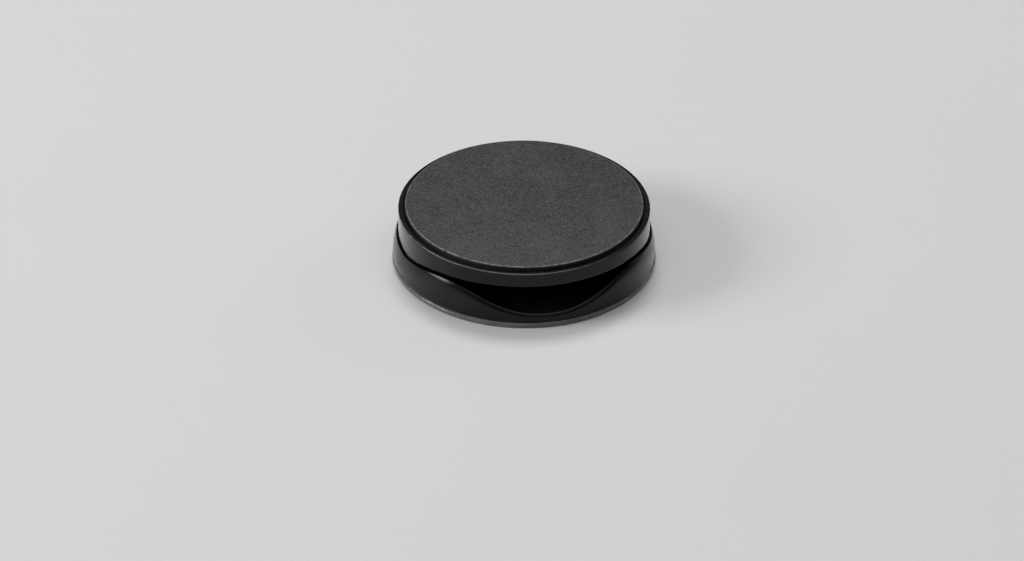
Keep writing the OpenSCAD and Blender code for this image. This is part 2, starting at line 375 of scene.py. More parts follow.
@dataclass(frozen=True)
class PadSheet(Finish):
    """Charcoal non-slip sheet with a fine pebbled grain and pale specks, a painted highlight along its
    upper cut edge and painted shade on its side.
    """

    edge: Point
    dark: Colour = (0.004, 0.004, 0.0045)
    pale: Colour = (0.058, 0.058, 0.059)
    speck: Colour = (0.26, 0.26, 0.26)
    # painted highlight colour for the sheet's upper edge
    edge_highlight_colour: Colour = (0.2, 0.2, 0.2)
    # painted shade: the sheet's side is darker than its top
    side: Colour = (0.008, 0.008, 0.008)
    roughness: float = 0.62
    roughness_spread: float = 0.2
    specular: float = 0.35
    pebble_mm: float = 0.4
    pebble_share: float = 0.8
    tone_mm: float = 7.0
    tone_share: float = 0.25
    pale_range: Point = (0.34, 0.72)
    speck_mm: float = 0.2
    speck_range: Point = (0.7, 0.8)
    speck_share: float = 0.5
    shaded_side_range: Point = (-0.3, -0.1)
    edge_highlight_place: Point = (-0.04, 0.02)
    edge_highlight_reach: Point = (0.24, 0.2)
    edge_highlight_range: Point = (0.1, 0.6)
    edge_highlight_noise_mm: float = 0.8
    edge_highlight_breaks: Point = (0.25, 0.6)
    depth_mm: float = 0.03

    def paint(self, shader: Shader) -> None:
        """Adds the nodes of this finish.

        Args:
            shader: The material under construction.
        """
        top = self.edge[1]
        pebble = shader.noise(self.pebble_mm, detail=2.0, roughness=0.55)
        tone = shader.noise(self.tone_mm, detail=3.0)
        mixed = pebble * self.pebble_share + tone * self.tone_share
        colour = shader.blend(mixed.between(*self.pale_range), self.dark, self.pale)
        specks = shader.noise(self.speck_mm, detail=0.0).between(*self.speck_range)
        colour = shader.blend(specks * self.speck_share, colour, self.speck)
        # painted shade: below its top edge the sheet's side is darkened
        low, high = ((top + step) * MM for step in self.shaded_side_range)
        colour = shader.blend(1.0 - shader.axes()[2].between(low, high), colour, self.side)
        # painted highlight: the upper edge is lightened, and made glossier, in a broken band
        edge_highlight = self._edge_highlight(shader)
        colour = shader.blend(edge_highlight, colour, self.edge_highlight_colour)
        shine = (pebble - 0.5) * self.roughness_spread - edge_highlight * self.roughness_spread
        shader.varying(Base_Color=colour, Roughness=shine + self.roughness)
        shader.constant(Specular_IOR_Level=self.specular)
        shader.bump(pebble, self.depth_mm)

    def _edge_highlight(self, shader: Shader) -> Value:
        """Works out where the sheet's upper edge is lightened as a painted highlight, in a band broken by
        noise.

        Args:
            shader: The material under construction.

        Returns:
            How strong the painted highlight is at a place, from 0 to 1.
        """
        radius, height = ((edge + step) * MM for edge, step in zip(self.edge, self.edge_highlight_place))
        width, depth = (reach * MM for reach in self.edge_highlight_reach)
        band = shader.radius().near(radius, width) * shader.axes()[2].near(height, depth)
        breaks = shader.noise(self.edge_highlight_noise_mm, detail=3.0).between(*self.edge_highlight_breaks)
        return band.between(*self.edge_highlight_range) * breaks


@dataclass(frozen=True)
class ClearGel(Finish):
    """Clear sticky gel, glossy, with faint cloudiness and dust."""

    colour: Colour = (0.9, 0.91, 0.92)
    cloudy: Colour = (0.74, 0.75, 0.76)
    roughness: float = 0.12
    dust_roughness: float = 0.2
    transmission: float = 0.85
    ior: float = 1.43
    cloud_mm: float = 2.5
    cloud_range: Point = (0.4, 0.7)
    dust_mm: float = 0.25
    dust_range: Point = (0.5, 0.75)
    depth_mm: float = 0.03

    def paint(self, shader: Shader) -> None:
        """Adds the nodes of this finish.

        Args:
            shader: The material under construction.
        """
        cloud = shader.noise(self.cloud_mm, detail=3.0)
        dust = shader.noise(self.dust_mm, detail=2.0)
        shader.varying(
            Base_Color=shader.blend(cloud.between(*self.cloud_range), self.colour, self.cloudy),
            Roughness=dust.between(*self.dust_range) * self.dust_roughness + self.roughness,
        )
        shader.constant(Transmission_Weight=self.transmission, IOR=self.ior)
        shader.bump(cloud, self.depth_mm)


@dataclass(frozen=True)
class TurnedSteel(Finish):
    """Bright plated steel with fine turning marks."""

    colour: Colour = (0.56, 0.57, 0.58)
    shade: Colour = (0.42, 0.43, 0.44)
    roughness: float = 0.28
    roughness_spread: float = 0.2
    ring_mm: float = 0.05
    ring_depth_mm: float = 0.002
    smudge_mm: float = 1.2
    smudge_range: Point = (0.35, 0.7)

    def paint(self, shader: Shader) -> None:
        """Adds the nodes of this finish.

        Args:
            shader: The material under construction.
        """
        rings = ((shader.radius() + shader.axes()[2]) * (1 / (self.ring_mm * MM))).sine()
        smudge = shader.noise(self.smudge_mm, detail=3.0)
        shader.varying(
            Base_Color=shader.blend(smudge.between(*self.smudge_range), self.colour, self.shade),
            Roughness=(smudge - 0.5) * self.roughness_spread + self.roughness,
        )
        shader.constant(Metallic=1.0)
        shader.bump(rings, self.ring_depth_mm)


@dataclass(frozen=True)
class PlainSheet(Finish):
    """Slippery nylon or thin adhesive: even colour with a faint mottle."""

    colour: Colour
    mottle: Colour
    roughness: float
    roughness_spread: float = 0.15
    grain_mm: float = 0.4
    mottle_range: Point = (0.35, 0.65)
    depth_mm: float = 0.01

    def paint(self, shader: Shader) -> None:
        """Adds the nodes of this finish.

        Args:
            shader: The material under construction.
        """
        mottle = shader.noise(self.grain_mm, detail=3.0)
        shader.varying(
            Base_Color=shader.blend(mottle.between(*self.mottle_range), self.colour, self.mottle),
            Roughness=(mottle - 0.5) * self.roughness_spread + self.roughness,
        )
        shader.bump(mottle, self.depth_mm)


class Bench:
    """The modelling operations that the pieces are made with, as by hand."""

    SMOOTH_ANGLE: ClassVar[float] = math.radians(32)
    WELD: ClassVar[float] = 2e-7
    FINE_STEPS: ClassVar[int] = 480
    HOLE_STEPS: ClassVar[int] = 48
    ROD_SIDES: ClassVar[int] = 64

    @staticmethod
    def clear_selection() -> None:
        """Leaves nothing selected, in object mode."""
        if bpy.context.object and bpy.context.object.mode != "OBJECT":
            bpy.ops.object.mode_set(mode="OBJECT")
        bpy.ops.object.select_all(action="DESELECT")

    @classmethod
    def take(cls, piece: Piece) -> None:
        """Selects one object alone and makes it the active one.

        Args:
            piece: The object.
        """
        cls.clear_selection()
        bpy.context.view_layer.objects.active = piece
        piece.select_set(True)

    @staticmethod
    def name_new(name: str) -> Piece:
        """Names the object that was just added, and its mesh.

        Args:
            name: The name of both.

        Returns:
            The object.
        """
        made = bpy.context.object
        made.name = name
        made.data.name = name
        return made

    @classmethod
    def turned(cls, name: str, outline: Sequence[Point], steps: int = 256) -> Piece:
        """Spins an outline round the Z axis into a closed surface.

        Args:
            name: The new object's name.
            outline: Points of radius and height in millimetres. An outline that doesn't start and
                end on the axis is closed back to its first point.
            steps: Steps of the spin.

        Returns:
            The new object.
        """
        cls.clear_selection()
        points = list(outline)
        if points[0][0] > 0 or points[-1][0] > 0:
            points.append(points[0])
        bpy.ops.mesh.primitive_plane_add(size=MM)
        made = cls.name_new(name)
        bpy.ops.object.mode_set(mode="EDIT")
        bpy.ops.mesh.select_all(action="SELECT")
        bpy.ops.mesh.merge(type="CENTER")
        bpy.ops.transform.translate(value=(points[0][0] * MM, 0, points[0][1] * MM))
        for (r0, z0), (r1, z1) in zip(points, points[1:]):
            step = ((r1 - r0) * MM, 0, (z1 - z0) * MM)
            bpy.ops.mesh.extrude_vertices_move(TRANSFORM_OT_translate={"value": step})
        bpy.ops.mesh.select_all(action="SELECT")
        bpy.ops.mesh.spin(steps=steps, angle=FULL_TURN, center=(0, 0, 0), axis=(0, 0, 1))
        cls.sew()
        return made

    @classmethod
    def reshape(cls, piece: Piece, moved: Callable[[Vector], Vector]) -> None:
        """Moves each vertex to where a rule puts its place.

        Args:
            piece: The object that is changed.
            moved: The rule, from an old place to the new one.
        """
        for vertex in piece.data.vertices:
            vertex.co = moved(vertex.co.copy())
        piece.data.update()

    @classmethod
    def block(cls, name: str, size: Triple, centre: Triple, turn: float = 0.0) -> Piece:
        """A box, turned about its own upright axis.

        Args:
            name: The new object's name.
            size: Its size in millimetres.
            centre: Its middle in millimetres.
            turn: Its turn in degrees.

        Returns:
            The new object.
        """
        cls.clear_selection()
        bpy.ops.mesh.primitive_cube_add(
            size=MM,
            location=[along * MM for along in centre],
            rotation=(0, 0, math.radians(turn)),
            scale=size,
        )
        made = cls.name_new(name)
        cls.settle(made)
        return made

    @classmethod
    def rod(cls, name: str, radius: float, ends: Point, centre: Point, round_mm: float = 0.12) -> Piece:
        """A bar along X with rounded ends.

        Args:
            name: The new object's name.
            radius: Its radius in millimetres.
            ends: Its first and last X in millimetres.
            centre: Y and Z of its axis in millimetres.
            round_mm: Rounding of its two end edges.

        Returns:
            The new object.
        """
        cls.clear_selection()
        middle = (sum(ends) / 2 * MM, centre[0] * MM, centre[1] * MM)
        bpy.ops.mesh.primitive_cylinder_add(
            vertices=cls.ROD_SIDES,
            radius=radius * MM,
            depth=(ends[1] - ends[0]) * MM,
            location=middle,
            rotation=(0, math.pi / 2, 0),
        )
        made = cls.name_new(name)
        cls.settle(made)
        cls.round_edges(made, lambda a, b: abs(a.x - b.x) < cls.WELD, round_mm)
        return made

    @classmethod
    def pick(cls, piece: Piece, kind: str, wanted: Callable[[object], bool]) -> None:
        """Selects the edges or faces that a rule accepts, and stays in edit mode.

        Args:
            piece: The object that they are on.
            kind: EDGE or FACE.
            wanted: The rule, from an edge or a face.
        """
        cls.take(piece)
        bpy.ops.object.mode_set(mode="EDIT")
        bpy.ops.mesh.select_mode(type=kind)
        bpy.ops.mesh.select_all(action="DESELECT")
        bpy.ops.object.mode_set(mode="OBJECT")
        for part in piece.data.edges if kind == "EDGE" else piece.data.polygons:
            part.select = wanted(part)
        bpy.ops.object.mode_set(mode="EDIT")

    @classmethod
    def sew(cls) -> None:
        """Merges points that meet, turns all faces outward and leaves edit mode."""
        bpy.ops.mesh.select_all(action="SELECT")
        bpy.ops.mesh.remove_doubles(threshold=cls.WELD)
        bpy.ops.mesh.normals_make_consistent(inside=False)
        bpy.ops.object.mode_set(mode="OBJECT")

    @classmethod
    def round_edges(
        cls, piece: Piece, wanted: Callable[[Vector, Vector], bool], round_mm: float, segments: int = 4
    ) -> None:
        """Bevels the edges whose two ends a rule accepts.

        Args:
            piece: The object that is changed.
            wanted: The rule, from an edge's two ends.
            round_mm: Width of the bevel in millimetres.
            segments: Its number of faces across.
        """
        cls.pick(piece, "EDGE", lambda e: wanted(*(piece.data.vertices[i].co for i in e.vertices)))
        bpy.ops.mesh.bevel(offset=round_mm * MM, segments=segments, affect="EDGES")
        bpy.ops.mesh.select_mode(type="VERT")
        bpy.ops.object.mode_set(mode="OBJECT")

    @classmethod
    def drop_faces(
        cls, piece: Piece, wanted: Callable[[bpy.types.MeshPolygon], bool], bottom_mm: float
    ) -> None:
        """Extrudes the faces that a rule accepts straight down to one flat height.

        Args:
            piece: The object that is changed.
            wanted: The rule, from a face.
            bottom_mm: The height in millimetres.
        """
        cls.pick(piece, "FACE", wanted)
        bpy.ops.mesh.extrude_region_move(TRANSFORM_OT_translate={"value": (0, 0, 0)})
        bpy.ops.transform.resize(value=(1, 1, 0), center_override=(0, 0, bottom_mm * MM))
        bpy.ops.mesh.select_mode(type="VERT")
        cls.sew()

    @classmethod
    def joined(cls, name: str, pieces: Sequence[Piece]) -> Piece:
        """Joins objects into one.

        Args:
            name: The name of the joined object.
            pieces: The objects, of which the first is kept.

        Returns:
            The joined object.
        """
        cls.clear_selection()
        for piece in pieces:
            piece.select_set(True)
        bpy.context.view_layer.objects.active = pieces[0]
        bpy.ops.object.join()
        return cls.name_new(name)

    @classmethod
    def combine(cls, piece: Piece, other: Piece, operation: str = "DIFFERENCE") -> None:
        """Cuts another object out of a piece, or fuses it on, and removes the other.

        Args:
            piece: The object that is changed.
            other: The object that is used up.
            operation: DIFFERENCE to cut, UNION to fuse.
        """
        cls.take(piece)
        change = piece.modifiers.new("combine", "BOOLEAN")
        change.operation = operation
        change.solver = "EXACT"
        change.object = other
        bpy.ops.object.modifier_apply(modifier=change.name)
        bpy.data.objects.remove(other)

    @classmethod
    def shifted(cls, piece: Piece, place: Point) -> Piece:
        """Moves a whole mesh sideways.

        Args:
            piece: The object that is changed.
            place: The distance along X and Y in millimetres.

        Returns:
            The same object.
        """
        cls.take(piece)
        bpy.ops.object.mode_set(mode="EDIT")
        bpy.ops.mesh.select_all(action="SELECT")
        bpy.ops.transform.translate(value=(place[0] * MM, place[1] * MM, 0))
        bpy.ops.object.mode_set(mode="OBJECT")
        return piece

    @classmethod
    def settle(cls, piece: Piece) -> None:
        """Puts an object's place, turn and scale into its mesh, so that it sits at the origin."""
        cls.take(piece)
        bpy.ops.object.transform_apply(location=True, rotation=True, scale=True)

    @classmethod
    def smooth(cls, piece: Piece) -> None:
        """Shades a piece smooth, with its sharp edges kept."""
        cls.take(piece)
        bpy.ops.object.shade_smooth_by_angle(angle=cls.SMOOTH_ANGLE)


def arc(centre: Point, reach: Point, start: float, end: float, steps: int = 6) -> list[Point]:
    """Points of an arc from its centre, its half-axes and its first and last angle in degrees."""
    angles = [math.radians(start + (end - start) * i / steps) for i in range(steps + 1)]
    return [(centre[0] + reach[0] * math.cos(a), centre[1] + reach[1] * math.sin(a)) for a in angles]


def line(start: Point, end: Point, steps: int) -> list[Point]:
    """Points on the straight line from start to end, without those two."""
    run, rise = end[0] - start[0], end[1] - start[1]
    return [(start[0] + run * i / steps, start[1] + rise * i / steps) for i in range(1, steps)]


def low_mm(node: str) -> Vector:
    """The lowest corner of a CAD node, in millimetres."""
    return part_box(node)[0] / MM


def high_mm(node: str) -> Vector:
    """The highest corner of a CAD node, in millimetres."""
    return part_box(node)[1] / MM


def front_angle(place: Vector) -> float:
    """The angle of a place round the Z axis, in degrees from the scoop's middle."""
    return math.degrees(math.atan2(place.x, -place.y))


def smooth_step(t: float) -> float:
    """A smooth rise from 0 to 1."""
    t = min(1.0, max(0.0, t))
    return t * t * (3 - 2 * t)


def dress(node: str, finish: Material) -> None:
    """Gives a CAD node that stays its finish.

    Args:
        node: The node's name.
        finish: Its material.
    """
    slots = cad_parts[node].data.materials
    slots.clear()
    slots.append(finish)
    LOG.info("%s keeps its solid, dressed in %s", node, finish.name)


def place_piece(piece: Piece, finish: Material, body: Body, slot: Slot, *stands_for: str) -> None:
    """Dresses a new piece and hangs it on its body.

    Args:
        piece: The new object.
        finish: Its material.
        body: The body that it moves with.
        slot: The record's slot of its finish; not used.
        stands_for: The CAD nodes that it replaces.
    """
    Bench.smooth(piece)
    piece.data.materials.clear()
    piece.data.materials.append(finish)
    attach(piece, body.value)
    if stands_for:
        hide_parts(*stands_for)
    LOG.info("%s: %d faces on %s", piece.name, len(piece.data.polygons), body.value)


@dataclass
class Mount:
    """The gel pad and the swivel parts that stay with the phone. Sizes are in millimetres."""

    pad_r: float = field(default_factory=lambda: high_mm("gel_pad").x)
    pad_t: float = field(default_factory=lambda: high_mm("gel_pad").z)
    edge_round: float = 0.3

    def gel_pad(self) -> Piece:
        """Models the clear pad, with both its edges rounded.

        Returns:
            The new object.
        """
        inner = self.pad_r - self.edge_round
        reach = (self.edge_round, self.edge_round)
        outline = [(0.0, 0.0)]
        outline += arc((inner, self.edge_round), reach, -90, 0)
        outline += arc((inner, self.pad_t - self.edge_round), reach, 0, 90)
        outline += [(0.0, self.pad_t)]
        return Bench.turned("clear_gel_pad", outline)

    def build(
        self, gel: ClearGel, inner: MouldedPlastic, glide: PlainSheet, steel: Material
    ) -> None:
        """Builds the pad and dresses the swivel parts.

        Args:
            gel: Finish of the pad.
            inner: Finish of the disc.
            glide: Finish of the glide ring.
            steel: Material of the washer and the screw.
        """
        place_piece(self.gel_pad(), gel.material(), Body.MOUNT, Slot.GEL, "gel_pad")
        dress("mount_disc", inner.material())
        dress("glide_ring", glide.material())
        dress("hub_washer", steel)
        dress("hub_screw", steel)


@dataclass
class Cup:
    """The cup moulding with its scoop, hinge ears and lid rests. Sizes are in millimetres."""

    outer_r: float = field(default_factory=lambda: high_mm("base_cup").x)
    foot_z: float = field(default_factory=lambda: low_mm("base_cup").z)
    floor_z: float = field(default_factory=lambda: low_mm("hub_cap").z)
    barrel_top: float = field(default_factory=lambda: high_mm("base_cup").z)
    wall: float = 0.65
    wall_rise: float = 2.75
    floor_t: float = 0.5
    shoulder: Point = (0.55, 2.6)
    crest_shoulder: Point = (0.45, 0.85)
    lip_shoulder: Point = (0.4, 0.5)
    foot_round: float = 0.12
    lip_round: float = 0.08
    bevel_share: float = 0.65
    crease: float = 0.06
    mouth_lean: float = 0.14
    mouth_end: Point = (100.0, 120.0)
    scoop_lip: float = 0.25
    scoop_power: float = 1.2
    crest_angle: float = 47.0
    crest_rise: float = 1.5
    side_angle: float = 85.0
    run_out: float = 0.15
    notch_half: float = 7.6
    notch_depth: float = 0.9
    notch_blend: float = 0.5
    boss_r: float = 7.0
    boss_h: float = 0.65
    bore_r: float = 4.05
    barrel_r: float = 1.3
    hinge_inset: float = 2.45
    ears: Point = (5.05, 7.0)
    ear_slope: float = 0.2
    ear_foot: float = 0.8
    ear_bore: float = 0.72
    bore_round: float = 0.05
    rest_angles: tuple[float, ...] = (50.0, 110.0, 250.0, 310.0)
    rest_size: Triple = (2.0, 1.5, 1.25)
    rest_round: float = 0.12
    TOUCH: ClassVar[float] = 0.005
    CLEAR: ClassVar[float] = 0.4

    @property
    def top(self) -> float:
        """Height of the wall's top at the sides."""
        return self.floor_z + self.wall_rise

    @property
    def inner_r(self) -> float:
        """Inner radius of the wall."""
        return self.outer_r - self.wall

    @property
    def hinge(self) -> Point:
        """Y and Z of the hinge axis."""
        return self.outer_r - self.hinge_inset, self.barrel_top - self.barrel_r

    def wall_top(self, place: Vector) -> float:
        """Works out the wall's height: scoop, crests, sides and the hinge notch behind.

        Args:
            place: A place on the wall, in metres.

        Returns:
            Height of the wall's top there.
        """
        away = abs(front_angle(place))
        crest = self.top + self.crest_rise
        if away < self.crest_angle:
            low = self.floor_z + self.scoop_lip
            wave = (1 - math.cos(math.pi * (away / self.crest_angle) ** self.scoop_power)) / 2
            return low + (crest - low) * wave
        if place.y > 0:
            side = abs(place.x) / MM
            rise = smooth_step((side - self.notch_half) / self.notch_blend)
            return self.top - self.notch_depth * (1 - rise)
        along = min(1.0, (away - self.crest_angle) / (self.side_angle - self.crest_angle))
        fall = (1 - math.cos(math.pi * along)) / 2
        return max(self.top, crest - (self.crest_rise + self.run_out) * fall)

    def shoulder_at(self, place: Vector) -> Point:
        """Works out the shoulder, which is low in the scoop and tall at the sides.

        Args:
            place: A place on the wall, in metres.

        Returns:
            How far it leans in there, and its height.
        """
        away = abs(front_angle(place))
        front = smooth_step(away / self.crest_angle)
        back = smooth_step((away - self.crest_angle) / (self.side_angle - self.crest_angle))
        lean, tall = (
            low + (middle - low) * front + (high - middle) * back
            for low, middle, high in zip(self.lip_shoulder, self.crest_shoulder, self.shoulder)
        )
        return lean, tall

    def outline(self) -> list[Point]:
        """Draws the section of wall, floor and boss.

        Returns:
            Its points of radius and height, from the bore's foot round to its top.
        """
        under = self.floor_z - self.floor_t
        rim_r = self.outer_r - self.shoulder[0]
        lip = (self.lip_round, self.lip_round)
        points = [(self.bore_r, under), (self.inner_r, under), (self.inner_r, self.foot_z)]
        foot = (self.foot_round, self.foot_round)
        points += arc((self.outer_r - foot[0], self.foot_z + foot[1]), foot, -90, 0, 4)
        points += line(points[-1], (self.outer_r, self.top - self.shoulder[1] - self.crease), 5)
        points += [(self.outer_r, self.top - self.shoulder[1])]
        points += arc((rim_r, self.top - self.shoulder[1]), self.shoulder, 0, 90, 12)
        points += arc((self.inner_r + lip[0], self.top - lip[1]), lip, 90, 180, 4)
        floor_edge = (self.inner_r, self.floor_z)
        points += line(points[-1], floor_edge, 5)
        points += [floor_edge, (self.boss_r, self.floor_z), (self.boss_r, self.floor_z + self.boss_h)]
        points += [(self.bore_r, self.floor_z + self.boss_h)]
        return points

    def mouth_share(self, place: Vector) -> float:
        """Works out where the wall's mouth leans in: at the sides, not in the scoop or behind.

        Args:
            place: A place on the wall, in metres.

        Returns:
            The share of its lean there, from 0 to 1.
        """
        away = abs(front_angle(place))
        half = self.crest_angle / 2
        start, end = self.mouth_end
        return smooth_step((away - half) / half) * (1 - smooth_step((away - start) / (end - start)))

    def inside_wall(self, place: Vector, z: float, reach: float) -> Point:
        """Moves a point of the wall's inner side.

        Args:
            place: The point, in metres.
            z: Its height in millimetres.
            reach: Its radius in millimetres.

        Returns:
            Its new radius and height.
        """
        top = self.wall_top(place)
        lip_foot = self.top - self.lip_round
        if z > lip_foot:
            height = top - (self.top - z)
        else:
            share = (z - self.floor_z) / (lip_foot - self.floor_z)
            height = self.floor_z + share * (top - self.lip_round - self.floor_z)
        low = self.floor_z + self.rest_size[2]
        leaning = smooth_step((height - low) / max(self.TOUCH, top - low))
        return reach - self.mouth_lean * self.mouth_share(place) * leaning, height

    def outside_wall(self, place: Vector, z: float, reach: float) -> Point:
        """Moves a point of the wall's outer side or of its shoulder.

        Args:
            place: The point, in metres.
            z: Its height in millimetres.
            reach: Its radius in millimetres.

        Returns:
            Its new radius and height.
        """
        top = self.wall_top(place)
        lean, tall = self.shoulder_at(place)
        foot = self.foot_z + self.foot_round
        start = self.top - self.shoulder[1]
        if z <= start:
            return reach, foot + (z - foot) / (start - foot) * (top - tall - foot)
        turned = math.asin(min(1.0, (z - start) / self.shoulder[1]))
        straight = self.bevel_share * turned / (math.pi / 2)
        curved = 1 - self.bevel_share
        new_reach = self.outer_r - lean * (straight + curved * (1 - math.cos(turned)))
        return new_reach, top - tall * (1 - straight - curved * math.sin(turned))

    def shaped(self, place: Vector) -> Vector:
        """Gives the plain turned wall its wavy edge and its shoulder.

        Args:
            place: A point of the turned shape, in metres.

        Returns:
            Where it lies in the finished cup.
        """
        z = place.z / MM
        reach = math.hypot(place.x, place.y) / MM
        inside = reach < self.inner_r + self.lip_round + self.TOUCH
        still = self.floor_z if inside else self.foot_z + self.foot_round
        if reach < self.inner_r - self.TOUCH or z <= still:
            return place
        wall = self.inside_wall if inside else self.outside_wall
        new_reach, height = wall(place, z, reach)
        return Vector((place.x * new_reach / reach, place.y * new_reach / reach, height * MM))

    def moulding(self) -> Piece:
        """Models the cup, with its ears and rests in one piece.

        Returns:
            The new object.
        """
        made = Bench.turned("cup_moulding", self.outline(), steps=Bench.FINE_STEPS)
        Bench.reshape(made, self.shaped)
        fittings = [*self.hinge_ears(), *self.lid_rests()]
        Bench.combine(made, Bench.joined("ears_and_rests", fittings), "UNION")
        return made

    def hinge_ears(self) -> list[Piece]:
        """Models the two ears that hold the hinge pin: a bored barrel with a flat foot.

        Returns:
            The new objects.
        """
        made = []
        under_y, axis_z = (self.hinge[0] + self.ear_foot) * MM, self.hinge[1] * MM
        for side in (-1, 1):
            ends = tuple(sorted((side * self.ears[0], side * self.ears[1])))
            ear = Bench.rod(f"ear_{side}", self.barrel_r, ends, self.hinge)
            Bench.drop_faces(
                ear,
                lambda f: f.normal.z < -self.ear_slope and f.center.z < axis_z and f.center.y < under_y,
                self.floor_z - self.floor_t / 2,
            )
            reach = (ends[0] - self.CLEAR, ends[1] + self.CLEAR)
            Bench.combine(ear, Bench.rod("ear_bore", self.ear_bore, reach, self.hinge, self.bore_round))
            made.append(ear)
        return made

    def lid_rests(self) -> list[Piece]:
        """Models the four low blocks beside the wall that the closed lid comes down on.

        Returns:
            The new objects.
        """
        made = []
        width, depth, height = self.rest_size
        sunk = self.floor_t / 2
        reach = self.inner_r - depth / 2 + self.wall / 4
        for angle in self.rest_angles:
            turn = math.radians(angle)
            middle = (-reach * math.sin(turn), reach * math.cos(turn), self.floor_z + (height - sunk) / 2)
            block = Bench.block(f"rest_{angle:.0f}", (width, depth, height + sunk), middle, angle)
            Bench.round_edges(block, lambda a, b: True, self.rest_round, 3)
            made.append(block)
        return made

    def build(self, plastic: MouldedPlastic, inner: MouldedPlastic, steel: Material) -> None:
        """Builds the cup and dresses what it carries.

        Args:
            plastic: Finish of the cup.
            inner: Finish of the hub's cap.
            steel: Material of the hinge's pin and washers.
        """
        place_piece(self.moulding(), plastic.material(), Body.CUP, Slot.CUP, "base_cup")
        dress("hub_cap", inner.material())
        dress("hinge_pin", steel)
        dress("hinge_washers", steel)


@dataclass
class Lid:
    """The lid shell, its liner with the hinge knuckle, and the textured pad. Millimetres."""

    cup: Cup
    outer_r: float = field(default_factory=lambda: high_mm("lid_shell").x)
    skirt_z: float = field(default_factory=lambda: low_mm("lid_shell").z)
    rim_z: float = field(default_factory=lambda: high_mm("lid_shell").z)
    recess_z: float = field(default_factory=lambda: low_mm("top_adhesive").z)
    pad_low: float = field(default_factory=lambda: low_mm("top_pad").z)
    pad_top: float = field(default_factory=lambda: high_mm("top_pad").z)
    pad_r: float = field(default_factory=lambda: high_mm("top_pad").x)
    liner_r: float = field(default_factory=lambda: high_mm("lid_liner").x)
    boss_z: float = field(default_factory=lambda: low_mm("lid_liner").z)
    skirt: float = 0.75
    rim_w: float = 0.85
    plate: float = 0.7
    liner: float = 0.7
    edge_round: float = 0.2
    hem_round: float = 0.06
    pad_round: float = 0.22
    liner_round: float = 0.15
    skirt_start: float = 0.5
    arch_lip: float = 0.4
    arch_drop: float = 1.22
    arch_angle: float = 59.7
    arch_power: float = 3.2
    knuckle_half: float = 4.7
    web_gap: float = 0.05
    web_round: float = 0.08
    boss_r: float = 1.6
    boss_round: float = 0.2
    head_h: float = 0.5
    head_gap: float = 0.05
    shell_hole: float = 0.65
    sink_r: float = 1.49
    hole_r: float = 0.62
    hole_floor: float = 0.2
    knuckle_bore: float = 0.76
    bosses: tuple[Point, ...] = ((14.0, -3.0), (10.5, 11.5), (-14.0, -3.0), (-10.5, 11.5))

    @property
    def inner_r(self) -> float:
        """Inner radius of the skirt."""
        return self.outer_r - self.skirt

    @property
    def plate_z(self) -> float:
        """Height of the top plate's underside."""
        return self.recess_z - self.plate

    @property
    def liner_z(self) -> float:
        """Height of the liner's underside."""
        return self.plate_z - self.liner

    def hem(self, place: Vector) -> float:
        """Works out the skirt's lower edge: the arch in front, the cut-out behind.

        Args:
            place: A place on the skirt, in metres.

        Returns:
            Height of the edge there.
        """
        away = abs(front_angle(place))
        front = self.liner_z - self.arch_lip
        if place.y > 0 and abs(place.x) < self.cup.notch_half * MM:
            return self.liner_z
        return max(self.skirt_z, front - self.arch_drop * (away / self.arch_angle) ** self.arch_power)

    def outline(self) -> list[Point]:
        """Draws the section of recess, rim, skirt and plate.

        Returns:
            Its points of radius and height, from the axis above to the axis below.
        """
        recess = self.outer_r - self.rim_w
        soft = (self.edge_round, self.edge_round)
        crisp = (self.edge_round / 2, self.edge_round / 2)
        hem = (self.hem_round, self.hem_round)
        points = [(0.0, self.recess_z), (recess, self.recess_z)]
        points += arc((recess + crisp[0], self.rim_z - crisp[1]), crisp, 180, 90, 4)
        points += arc((self.outer_r - soft[0], self.rim_z - soft[1]), soft, 90, 0, 6)
        points += line(points[-1], (self.outer_r, self.skirt_z + hem[1]), 6)
        points += arc((self.outer_r - hem[0], self.skirt_z + hem[1]), hem, 0, -90, 4)
        points += arc((self.inner_r + hem[0], self.skirt_z + hem[1]), hem, -90, -180, 4)
        points += line(points[-1], (self.inner_r, self.plate_z), 4)
        return points + [(self.inner_r, self.plate_z), (0.0, self.plate_z)]

    def lifted(self, place: Vector) -> Vector:
        """Gives the plain turned skirt its arched lower edge.

        Args:
            place: A point of the turned shape, in metres.

        Returns:
            Where it lies in the finished shell.
        """
        z = place.z / MM
        reach = math.hypot(place.x, place.y) / MM
        inside = reach < self.inner_r + self.hem_round / 2
        base = self.plate_z if inside else self.rim_z - self.skirt_start
        if reach < self.inner_r - self.cup.TOUCH or z >= base:
            return place
        share = (base - z) / (base - self.skirt_z)
        return Vector((place.x, place.y, (base - share * (base - self.hem(place))) * MM))

    def shell(self) -> Piece:
        """Models the lid moulding, with its screw holes.

        Returns:
            The new object.
        """
        made = Bench.turned("lid_moulding", self.outline(), steps=Bench.FINE_STEPS)
        Bench.reshape(made, self.lifted)
        for place in self.bosses:
            Bench.combine(made, Bench.shifted(self.countersink(), place))
        return made

    def countersink(self) -> Piece:
        """Models what a lid screw's hole and countersink take out of the plate.

        Returns:
            The new object, on the Z axis.
        """
        sink_foot = self.recess_z - self.head_h - self.head_gap
        sink_top = self.recess_z + self.head_gap
        low = self.plate_z - self.cup.CLEAR
        points = [(0.0, low), (self.shell_hole, low), (self.shell_hole, sink_foot)]
        points += [(self.sink_r, sink_top), (0.0, sink_top)]
        return Bench.turned("countersink", points, steps=Bench.HOLE_STEPS)

    def screw_hole(self) -> Piece:
        """Models what a lid screw's hole takes out of the liner.

        Returns:
            The new object, on the Z axis.
        """
        low, high = self.boss_z + self.hole_floor, self.plate_z + self.cup.CLEAR
        points = [(0.0, low), (self.hole_r, low), (self.hole_r, high), (0.0, high)]
        return Bench.turned("screw_hole", points, steps=Bench.HOLE_STEPS)

